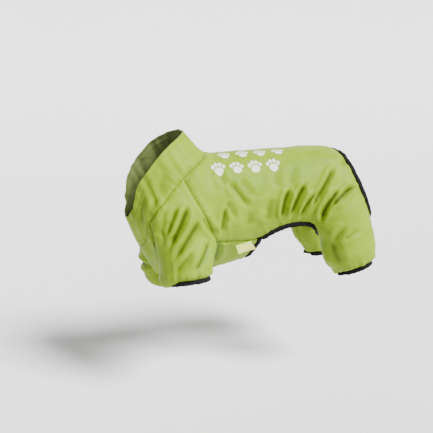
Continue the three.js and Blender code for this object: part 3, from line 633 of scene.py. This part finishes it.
def flat_grid(grid):
    """Where each point of a grid lies when the cloth is flat."""
    across = np.linalg.norm(np.diff(grid, axis=1), axis=-1).sum(1).mean()
    down = np.linalg.norm(np.diff(grid, axis=0), axis=-1).sum(0).mean()
    rows, columns = grid.shape[:2]
    j, i = np.mgrid[0:rows, 0:columns]
    flat = np.stack([i * across / columns, j * down / rows, j * 0], -1)
    return flat.reshape(-1, 3)


def add_piece(name, mesh, materials):
    made = bpy.data.objects.new(name, mesh)
    bpy.context.scene.collection.objects.link(made)
    for material in materials:
        mesh.materials.append(material)
    return made


class Shade:
    """A socket of a material's nodes that can stand in a plain expression."""

    def __init__(self, tree, socket):
        self.tree, self.socket = tree, socket

    def node(self, kind, settings, sockets, out=0):
        made = self.tree.nodes.new("ShaderNode" + kind)
        for name, value in settings.items():
            setattr(made, name, value)
        for name, value in sockets.items():
            if isinstance(value, Shade):
                self.tree.links.new(value.socket, made.inputs[name])
            else:
                made.inputs[name].default_value = value
        return Shade(self.tree, made.outputs[out])

    def sum_of(self, kind, first, second=0.0):
        return self.node("Math", {"operation": kind}, {0: first, 1: second})

    def __add__(self, other):
        return self.sum_of("ADD", self, other)

    __radd__ = __add__

    def __sub__(self, other):
        return self.sum_of("SUBTRACT", self, other)

    def __rsub__(self, other):
        return self.sum_of("SUBTRACT", other, self)

    def __mul__(self, other):
        return self.sum_of("MULTIPLY", self, other)

    __rmul__ = __mul__

    def __truediv__(self, other):
        return self.sum_of("DIVIDE", self, other)

    def __abs__(self):
        return self.sum_of("ABSOLUTE", self)

    def sine(self):
        return self.sum_of("SINE", self)

    def step(self, start, stop):
        """0 up to start, 1 from stop on, soft between them."""
        return self.node("MapRange", {"interpolation_type": "SMOOTHSTEP"},
                         {"Value": self, "From Min": start, "From Max": stop})

    def parts(self):
        return [self.node("SeparateXYZ", {}, {0: self}, k) for k in range(3)]

    def mixed(self, first, second):
        """One colour turning into another where this is 1."""
        return self.node("Mix", {"data_type": "RGBA"}, {0: self, 6: first, 7: second}, 2)


def new_material(name):
    """A material with its nodes: the surface's own node, and a start for expressions."""
    material = bpy.data.materials.new(name)
    material.use_nodes = True
    surface = material.node_tree.nodes["Principled BSDF"]
    return material, surface, Shade(material.node_tree, None)


def feed(start, surface, **links):
    for name, value in links.items():
        start.tree.links.new(value.socket, surface.inputs[name.replace("_", " ")])


LIME = (0.165, 0.262, 0.006, 1)
LIME_LIGHT = (0.190, 0.290, 0.009, 1)
LIME_DEEP = (0.115, 0.190, 0.003, 1)
# the dark colour of painted shade in creases, seams and gathers
CREASE_SHADE = (0.034, 0.060, 0.001, 1)


def shell_cloth(name, printed=False):
    """Close-woven polyester with a soft hand: even colour, a faint gloss and a fine weave, with
    painted shade darkening its creases, seams and gathers.
    """
    material, surface, start = new_material(name)
    flat = start.node("Attribute", {"attribute_name": "flat_cloth"}, {}, 1)
    place = start.node("TexCoord", {}, {}, 3)
    u, v, _ = flat.parts()
    cloud = start.node("TexNoise", {}, {"Vector": place, "Scale": 28.0, "Detail": 3.0})
    mottle = start.node("TexNoise", {}, {"Vector": place, "Scale": 420.0, "Detail": 4.0})
    colour = cloud.step(0.35, 0.65).mixed(LIME, LIME_LIGHT)
    colour = (mottle.step(0.45, 0.75) * 0.16).mixed(colour, LIME_DEEP)
    # painted shade: the colour turns dark where creases, seams and gathers sink
    depth = start.node("Attribute", {"attribute_name": "painted_crease_shade"}, {}, 2)
    colour = (depth * 0.9).step(0.0, 1.0).mixed(colour, CREASE_SHADE)
    warp = (u * (2 * math.pi / 0.0007)).sine()
    weft = (v * (2 * math.pi / 0.0007)).sine()
    weave = warp * weft
    height = weave * 0.25 + mottle * 0.5
    rough = mottle * 0.14 + 0.46
    if printed:
        ink = back_print(place)
        colour = ink.mixed(colour, (0.62, 0.63, 0.54, 1))
        height = height * (1 - ink * 0.8) + ink * 1.2
        rough = rough - ink * 0.08
    bump = start.node("Bump", {}, {"Strength": 0.35, "Distance": 0.0002, "Height": height})
    feed(start, surface, Base_Color=colour, Roughness=rough, Normal=bump)
    surface.inputs["Specular IOR Level"].default_value = 0.12
    return material


PAW_ROWS = ((13.0, 1.25, -76.0), (37.0, 1.4, -90.0))
PAW_PITCH = 25.0
PAWS = 4
BACK_RADIUS = 52


def back_print(place):
    """White paw marks in two staggered rows along each side of the spine, whole ones only.
    A row has its distance from the spine, the size of its paws and where it starts."""
    x, y, _ = place.parts()
    x, y = x * 1000, abs(y * 1000) / BACK_RADIUS
    y = y.sum_of("ARCSINE", y) * BACK_RADIUS
    marks = None
    for row_y, size, first in PAW_ROWS:
        last = first + PAWS * PAW_PITCH
        cell = start_cell(x - first, PAW_PITCH)
        inside = x.step(first, first + 0.1) * (1 - x.step(last - 0.1, last))
        a, b = cell / size, (y - row_y) / size
        pad = blob(a, b, 0.0, 2.0, 4.3, 3.4)
        toe = blob(abs(a), b, 1.9, -4.3, 1.6, 2.3)
        outer_toe = blob(abs(a), b, 5.2, -1.9, 1.5, 2.1)
        paw = pad.sum_of("MAXIMUM", pad, toe.sum_of("MAXIMUM", toe, outer_toe)) * inside
        marks = paw if marks is None else marks.sum_of("MAXIMUM", marks, paw)
    return marks


def start_cell(x, pitch):
    turned = (x + 1000 * pitch) / pitch
    return (turned.sum_of("FRACT", turned) - 0.5) * pitch


def blob(a, b, at_a, at_b, wide, tall):
    a, b = (a - at_a) / wide, (b - at_b) / tall
    gap = a * a + b * b
    return 1 - gap.step(0.85, 1.15)


def lining_cloth():
    """Knitted mesh lining: paler, matt, with a grid of small holes."""
    material, surface, start = new_material("mesh_lining")
    flat = start.node("Attribute", {"attribute_name": "flat_cloth"}, {}, 1)
    u, v, _ = flat.parts()
    holes = (u * (2 * math.pi / 0.0022)).sine() * (v * (2 * math.pi / 0.0022)).sine()
    hole = holes.step(0.35, 0.6)
    colour = hole.mixed((0.085, 0.115, 0.02, 1), (0.03, 0.045, 0.006, 1))
    bump = start.node("Bump", {}, {"Strength": 0.6, "Distance": 0.0004, "Height": 1 - hole})
    feed(start, surface, Base_Color=colour, Normal=bump)
    surface.inputs["Roughness"].default_value = 0.85
    return material


shell = shell_cloth("shell_cloth")
printed_shell = shell_cloth("shell_cloth_printed", printed=True)
lining = lining_cloth()


def spine_line(side, fine):
    nape, seat = LINES[side]["nape"][0], LINES[side]["seat"][0]
    x = np.linspace(nape[0], seat[0], LINE_STEPS + 1)
    run = spaced(onto_figure(np.stack([x, x * 0, x * 0 + 4], -1)), STEPS["spine"] * fine)
    run[0], run[-1] = nape, seat
    return run


def saddle_half(side):
    outer = lambda fine: np.concatenate([spine_line(side, fine), chained(side, "seat heel", fine)[1:]])
    inner = lambda fine: chained(side, "side -flank shin", fine)
    front = lambda fine: chained(side, "nape back_raglan", fine)
    cuff = lambda fine: cut_line(side, "-outer_cuff", fine)
    return filled((outer, inner, front, cuff), FINE, 20)


def saddle():
    halves = {side: saddle_half(side) for side in (LEFT, RIGHT)}
    rows, columns = halves[LEFT].shape[:2]
    joined = STEPS["spine"] * FINE + 1
    count = rows * columns
    cells = cells_of(rows, columns)
    twin = cells[:, ::-1]
    twin = np.where(twin < joined, twin, twin + count - joined)
    flat = flat_grid(halves[LEFT])
    points = np.concatenate([halves[LEFT].reshape(-1, 3), halves[RIGHT].reshape(-1, 3)[joined:]])
    flat = np.concatenate([flat, flat[joined:] * (1, -1, 1)])
    return points, np.concatenate([cells, twin]), flat


def sewn_piece(name, node, points, cells, flat, materials=(shell, lining), swell=0, drop=0):
    """Hangs a panel as worn cloth. It may also swell, and its points may drop, in millimetres."""
    # hung gives the cloth's height and its painted shade in creases, seams and gathers
    height, depth = hung(points)
    normals = outward_at(points)
    points = points - np.outer(np.broadcast_to(drop, len(points)), (0, 0, 1))
    mesh, outer = shell_mesh(name, points, normals, height + swell, cells)
    weave_map(mesh, flat, depth)
    piece = add_piece(name, mesh, materials)
    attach(piece, "root")
    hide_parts(node)
    sheet_area(outer, cells)


points, cells, flat = saddle()
sewn_piece(
    "saddle", "saddle_panel", points, cells, flat, (printed_shell, lining))

# ---------------------------------------------------------------- Belly panel
# One piece of the shell cloth, from the breast to the rim under the belly.
# It is sewn to the sleeves and along both side seams, and bound at its rear edge.
sides_of_belly = [
    lambda fine: chained(LEFT, "front_raglan side", fine),
    lambda fine: chained(RIGHT, "front_raglan side", fine),
    lambda fine: np.concatenate([cut_line(LEFT, "breast", fine),
                                 cut_line(RIGHT, "-breast", fine)[1:]]),
    lambda fine: np.concatenate([cut_line(LEFT, "belly", fine), cut_line(RIGHT, "-belly", fine)[1:]]),
]
grid = filled(sides_of_belly, FINE, 10)
sewn_piece(
    "belly", "belly_panel", grid.reshape(-1, 3), cells_of(*grid.shape[:2]), flat_grid(grid))

# ---------------------------------------------------------------- Sleeves
# A raglan sleeve of the shell cloth for each front leg, cut flat.
# An underarm seam down its back closes it, and its lower edge is gathered into tape.
for word, side in SIDES.items():
    edges = (
        lambda fine: chained(side, "-front_raglan -shoulder back_raglan", fine),
        lambda fine: cut_line(side, "front_cuff", fine),
        lambda fine: cut_line(side, "underarm", fine),
        lambda fine: cut_line(side, "underarm", fine),
    )
    grid = filled(edges, FINE, 20)
    points = grid.reshape(-1, 3)
    # the cloth bags over the front of its tape
    gap, _ = near_line(points, LINES[side]["front_cuff"])
    ahead = FRONT_LEGS[side].middle[1] - points[:, 0] - 4 - (points[:, 1] * side - 56) * 0.35
    bag = smooth(ahead / 20) * np.exp(-((gap / 6.5) ** 2))
    sewn_piece(
        "sleeve_" + word + "_shell", "sleeve_" + word, points,
        cells_of(*grid.shape[:2]), flat_grid(grid),
        swell=3.4 * bag, drop=5.2 * bag)

# ---------------------------------------------------------------- Inner legs
# The inner half of each hind leg in the shell cloth, from the rim between the thighs to the cuff.
# It is sewn to the saddle down the shin and the heel.
for word, side in SIDES.items():
    edges = (
        lambda fine: cut_line(side, "thigh", fine),
        lambda fine: cut_line(side, "inner_cuff", fine),
        lambda fine: cut_line(side, "heel", fine),
        lambda fine: cut_line(side, "shin", fine),
    )
    grid = filled(edges, FINE, 10)
    sewn_piece(
        "inner_leg_" + word + "_shell", "inner_leg_" + word, grid.reshape(-1, 3),
        cells_of(*grid.shape[:2]), flat_grid(grid))

# ---------------------------------------------------------------- Collar
# A soft standing band of the shell cloth round the neck.
# It is sewn on all round and turned in to a hem at its upper edge.
COLLAR_HEIGHT = 40
HEM_AT = 33
ring = [chained(side, "nape shoulder breast", FINE) for side in (LEFT, RIGHT)]
ring = np.concatenate([ring[0], ring[1][::-1][1:-1]])
collar_rows = 5 * FINE
lean = NECK_AXIS + NECK_DEPTH * NECK_LEAN
grid = np.stack([ring] + [onto_figure(ring + lean * COLLAR_HEIGHT * k / collar_rows)
                          for k in range(1, collar_rows + 1)])
for _ in range(60):
    beside = (np.roll(grid, 1, 1) + np.roll(grid, -1, 1)) / 2
    beside[1:-1] = (beside[1:-1] + (grid[:-2] + grid[2:]) / 2) / 2
    grid[1:] = grid[1:] * 0.4 + beside[1:] * 0.6
    grid[1:] = onto_figure(grid[1:], 1)
up = np.repeat(np.linspace(0, COLLAR_HEIGHT, collar_rows + 1), len(ring))
hem = 0.6 * smooth((up - HEM_AT) / 1.5) - 0.9 * np.exp(-(((up - HEM_AT) / 1.1) ** 2))
reach = np.concatenate([[0], np.cumsum(np.linalg.norm(np.diff(ring, axis=0), axis=1))])
slack = 0.9 * gathers(np.tile(reach / 2.2, collar_rows + 1), 3) * smooth(up / 14)
sewn_piece(
    "collar_band", "collar", grid.reshape(-1, 3), cells_of(*grid.shape[:2], closed=True),
    flat_grid(grid), swell=hem + slack)

# ---------------------------------------------------------------- Bindings
# Black ribbed elastic tape, folded over every raw edge and stitched through.
# One length runs round the rear opening, and one round each of the four cuffs.
TAPE_WIDTH = 7.2
TAPE_LAP = 2.5
TAPE_THICKNESS = 4.0
TAPE_LEAN = 0.45
ROUND = 20


def tape_cloth():
    """Dull ribbed elastic, nearly black."""
    material, surface, start = new_material("binding_tape")
    flat = start.node("Attribute", {"attribute_name": "flat_cloth"}, {}, 1)
    place = start.node("TexCoord", {}, {}, 3)
    u, _, _ = flat.parts()
    ribs = (u * (2 * math.pi / 0.0011)).sine()
    lint = start.node("TexNoise", {}, {"Vector": place, "Scale": 900.0, "Detail": 3.0})
    colour = lint.step(0.5, 0.8).mixed((0.006, 0.005, 0.0055, 1), (0.014, 0.013, 0.0135, 1))
    bump = start.node("Bump", {}, {"Strength": 0.5, "Distance": 0.0003, "Height": ribs + lint})
    feed(start, surface, Base_Color=colour, Normal=bump)
    surface.inputs["Roughness"].default_value = 0.75
    surface.inputs["Specular IOR Level"].default_value = 0.08
    return material


tape = tape_cloth()


def tape_round(name, node, edge, towards, seed):
    """Tape round a closed edge, lying away from the cloth, with a rounded folded lip."""
    count = len(edge)
    normals = outward_at(edge)
    along = np.roll(edge, -1, 0) - np.roll(edge, 1, 0)
    away = np.cross(normals, along)
    if away[0] @ towards < 0:
        away = -away
    for _ in range(2 * FINE):
        away /= np.linalg.norm(away, axis=1, keepdims=True)
        away = away + (np.roll(away, 1, 0) + np.roll(away, -1, 0)) / 2
    away /= np.linalg.norm(away, axis=1, keepdims=True)
    away += normals * TAPE_LEAN * np.maximum(0, -away[:, 2:])
    away /= np.linalg.norm(away, axis=1, keepdims=True)
    reach = np.concatenate([[0], np.cumsum(np.linalg.norm(along / 2, axis=1))[:-1]])
    rise = hung(edge)[0] + 0.9 + 0.2 * gathers(reach, seed)
    wide = 1 + 0.05 * gathers(reach * 1.7, seed + 1)
    turns = np.linspace(0, 2 * math.pi, ROUND + 1)[:-1]
    out = 0.5 - 0.5 * np.sign(np.cos(turns)) * np.abs(np.cos(turns)) ** 0.6
    up = np.sign(np.sin(turns)) * np.abs(np.sin(turns)) ** 0.75 * 0.5
    out, up = out[None, :, None], up[None, :, None]
    middle = (edge + normals * rise[:, None])[:, None]
    p = (middle + away[:, None] * (out * TAPE_WIDTH * wide[:, None, None] - TAPE_LAP)
         + normals[:, None] * up * TAPE_THICKNESS)
    mesh = bpy.data.meshes.new(name)
    cells = cells_of(count + 1, ROUND, closed=True) % (count * ROUND)
    mesh.from_pydata((p.reshape(-1, 3) / 1000).tolist(), [], cells.tolist())
    mesh.polygons.foreach_set("use_smooth", [True] * len(cells))
    layer = mesh.attributes.new("flat_cloth", "FLOAT_VECTOR", "POINT")
    turned = np.tile(np.arange(float(ROUND)), count)
    flat = np.stack([np.repeat(reach, ROUND), turned, turned * 0], -1)
    layer.data.foreach_set("vector", (flat / 1000).ravel().tolist())
    piece = add_piece(name, mesh, [tape])
    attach(piece, "root")
    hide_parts(node)


rim = [chained(side, "seat thigh flank belly", FINE) for side in (LEFT, RIGHT)]
rim = np.concatenate([rim[0], rim[1][::-1][1:-1]])
tape_round("opening_tape", "opening_binding", rim, np.array([1, 0, -1]), 5)
for word, side in SIDES.items():
    ring = cut_line(side, "front_cuff", FINE)[1:]
    tape_round("front_cuff_tape_" + word, "cuff_binding_front_" + word, ring,
               np.array([0, 0, -1]), 7 + side)
    ring = np.concatenate([cut_line(side, "outer_cuff", FINE),
                           cut_line(side, "inner_cuff", FINE)[1:-1]])
    tape_round("hind_cuff_tape_" + word, "cuff_binding_hind_" + word, ring,
               np.array([0, 0, -1]), 17 + side)

# ---------------------------------------------------------------- Side tab
# A blank tab of woven satin ribbon.
# It is sewn into the left side seam by its upper edge and hangs free.
TAB_TOP = np.array([(-57, -43.8, -116.6), (-36.6, -45.4, -111.4)])
TAB_BOTTOM = np.array([(-50.6, -35.4, -130), (-26.6, -36.7, -124.8)])
TAB_ROWS, TAB_COLUMNS = 13, 17
s, t = np.meshgrid(np.linspace(0, 1, TAB_COLUMNS), np.linspace(0, 1, TAB_ROWS))
s, t = s[..., None], t[..., None]
tab_grid = ((TAB_TOP[0] * (1 - s) + TAB_TOP[1] * s) * (1 - t)
            + (TAB_BOTTOM[0] * (1 - s) + TAB_BOTTOM[1] * s) * t)
tab_points = onto_figure(tab_grid).reshape(-1, 3)
tab_normals = outward_at(tab_points)
lift = (1.8 * (1 - t) + 4.2 * t + 0.5 * np.sin(s * 5 + t * 2) * t).reshape(-1)


def ribbon_cloth():
    """Smooth satin ribbon in a pale yellow."""
    material, surface, start = new_material("tab_ribbon")
    flat = start.node("Attribute", {"attribute_name": "flat_cloth"}, {}, 1)
    u, v, _ = flat.parts()
    twill = ((u + v) * (2 * math.pi / 0.0009)).sine()
    place = start.node("TexCoord", {}, {}, 3)
    haze = start.node("TexNoise", {}, {"Vector": place, "Scale": 160.0, "Detail": 2.0})
    colour = haze.step(0.4, 0.7).mixed((0.84, 0.92, 0.12, 1), (0.90, 0.95, 0.20, 1))
    bump = start.node("Bump", {}, {"Strength": 0.3, "Distance": 0.00015, "Height": twill})
    feed(start, surface, Base_Color=colour, Normal=bump)
    surface.inputs["Roughness"].default_value = 0.42
    return material


ribbon = ribbon_cloth()
tab_cells = cells_of(TAB_ROWS, TAB_COLUMNS)
mesh, outer = shell_mesh("tab", tab_points, tab_normals, lift, tab_cells, thick=0.5, stand=0.3)
weave_map(mesh, flat_grid(tab_points.reshape(TAB_ROWS, TAB_COLUMNS, 3)))
tab = add_piece("tab", mesh, [ribbon, ribbon])
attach(tab, "root")
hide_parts("side_tab")
sheet_area(outer, tab_cells)

# ---------------------------------------------------------------- Stitching
# Lock stitches in pale-green polyester thread, run beside the seams of the body and sleeves.
# One short row crosses the top of the tab.
STITCH_LENGTH = 2.3
STITCH_PITCH = 3.3
STITCH_THICKNESS = 0.55
BEAD_STEPS = 6


def thread_yarn():
    """Polyester sewing thread, a little paler than the cloth."""
    material, surface, start = new_material("sewing_thread")
    place = start.node("TexCoord", {}, {}, 3)
    ply = start.node("TexNoise", {}, {"Vector": place, "Scale": 1500.0, "Detail": 2.0})
    colour = ply.step(0.4, 0.6).mixed((0.15, 0.23, 0.03, 1), (0.24, 0.33, 0.07, 1))
    bump = start.node("Bump", {}, {"Strength": 0.4, "Distance": 0.0001, "Height": ply})
    feed(start, surface, Base_Color=colour, Normal=bump)
    surface.inputs["Roughness"].default_value = 0.5
    return material


def stitch_row(line, beside):
    """One row of stitches that runs beside a line, lying on the cloth."""
    count = int(np.linalg.norm(np.diff(line, axis=0), axis=1).sum() / STITCH_PITCH)
    run = spaced(line, count * BEAD_STEPS)
    way = np.gradient(run, axis=0)
    way /= np.linalg.norm(way, axis=1, keepdims=True)
    run = onto_figure(run + np.cross(outward_at(run), way) * beside)
    up = outward_at(run)
    return beads(run + up * (hung(run)[0] + WALL / 2 + 0.12)[:, None], up)


def beads(run, up):
    """One ten-point bead of thread in every six steps of a line."""
    points = []
    for k in range(BEAD_STEPS // 2, len(run) - BEAD_STEPS // 2, BEAD_STEPS):
        ahead = run[k + 1] - run[k - 1]
        ahead = ahead / np.linalg.norm(ahead) * STITCH_LENGTH / 2
        out = up[k] * STITCH_THICKNESS / 2
        across = np.cross(up[k], ahead) / (STITCH_LENGTH / 2) * STITCH_THICKNESS / 2
        ring = [across, out, -across, -out]
        points += [run[k] - ahead] + [run[k] - ahead * 0.6 + r for r in ring]
        points += [run[k] + ahead * 0.6 + r for r in ring] + [run[k] + ahead]
    return points


BEAD = ([(0, 1 + (k + 1) % 4, 1 + k) for k in range(4)]
        + [(1 + k, 1 + (k + 1) % 4, 5 + (k + 1) % 4, 5 + k) for k in range(4)]
        + [(9, 5 + k, 5 + (k + 1) % 4) for k in range(4)])
points = []
for side in (LEFT, RIGHT):
    for name, beside in (("side", 2.4), ("underarm", 2.4), ("underarm", -2.4),
                         ("back_raglan", -2.4), ("nape", 2.4)):
        points += stitch_row(LINES[side][name], beside * side)
tab_out = tab_normals[2 * TAB_COLUMNS + 6]
edge = spaced(outer.reshape(TAB_ROWS, TAB_COLUMNS, 3)[2], 6 * BEAD_STEPS) + tab_out * 0.15
points += beads(edge, np.tile(tab_out, (len(edge), 1)))
mesh = bpy.data.meshes.new("stitches")
faces = [tuple(corner + bead for corner in face)
         for bead in range(0, len(points), 10) for face in BEAD]
mesh.from_pydata((np.array(points) / 1000).tolist(), [], faces)
mesh.polygons.foreach_set("use_smooth", [True] * len(faces))
stitches = add_piece("stitches", mesh, [thread_yarn()])
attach(stitches, "root")

# ---------------------------------------------------------------- Floor and lights
# A plain pale floor under where the wearer's feet would be, curved up into a wall behind.
# One large soft light stands in front, above and to the right.
profile = [(-6, 0), (1.4, 0)] + [
    (1.4 + 1.2 * math.sin(k * math.pi / 24), 1.2 - 1.2 * math.cos(k * math.pi / 24))
    for k in range(1, 13)
] + [(2.6, 5)]
floor_points = [(x, y, z - 0.318) for y, z in profile for x in (-5, 5)]
floor_mesh = bpy.data.meshes.new("floor")
floor_mesh.from_pydata(
    floor_points, [], [(2 * k, 2 * k + 1, 2 * k + 3, 2 * k + 2) for k in range(len(profile) - 1)])
floor_mesh.polygons.foreach_set("use_smooth", [True] * (len(profile) - 1))
floor_material, floor_surface, start = new_material("pale_floor")
grain = start.node("TexNoise", {}, {"Vector": start.node("TexCoord", {}, {}, 3), "Scale": 3.0})
feed(start, floor_surface, Base_Color=grain.mixed((0.72, 0.72, 0.72, 1), (0.75, 0.75, 0.75, 1)))
floor_surface.inputs["Roughness"].default_value = 0.9
floor = add_piece("floor", floor_mesh, [floor_material])

world = bpy.data.worlds.new("studio")
world.use_nodes = True
world.node_tree.nodes["Background"].inputs[0].default_value = (1, 1, 1, 1)
world.node_tree.nodes["Background"].inputs[1].default_value = 0.15
bpy.context.scene.world = world

key = bpy.data.lights.new("key_light", "SUN")
key.angle = math.radians(22)
key.energy = 11.5
key_light = bpy.data.objects.new("key_light", key)
key_light.location = (0.7, -0.88, 1.2)
key_light.rotation_euler = (-key_light.location).to_track_quat("-Z", "Y").to_euler()
bpy.context.scene.collection.objects.link(key_light)
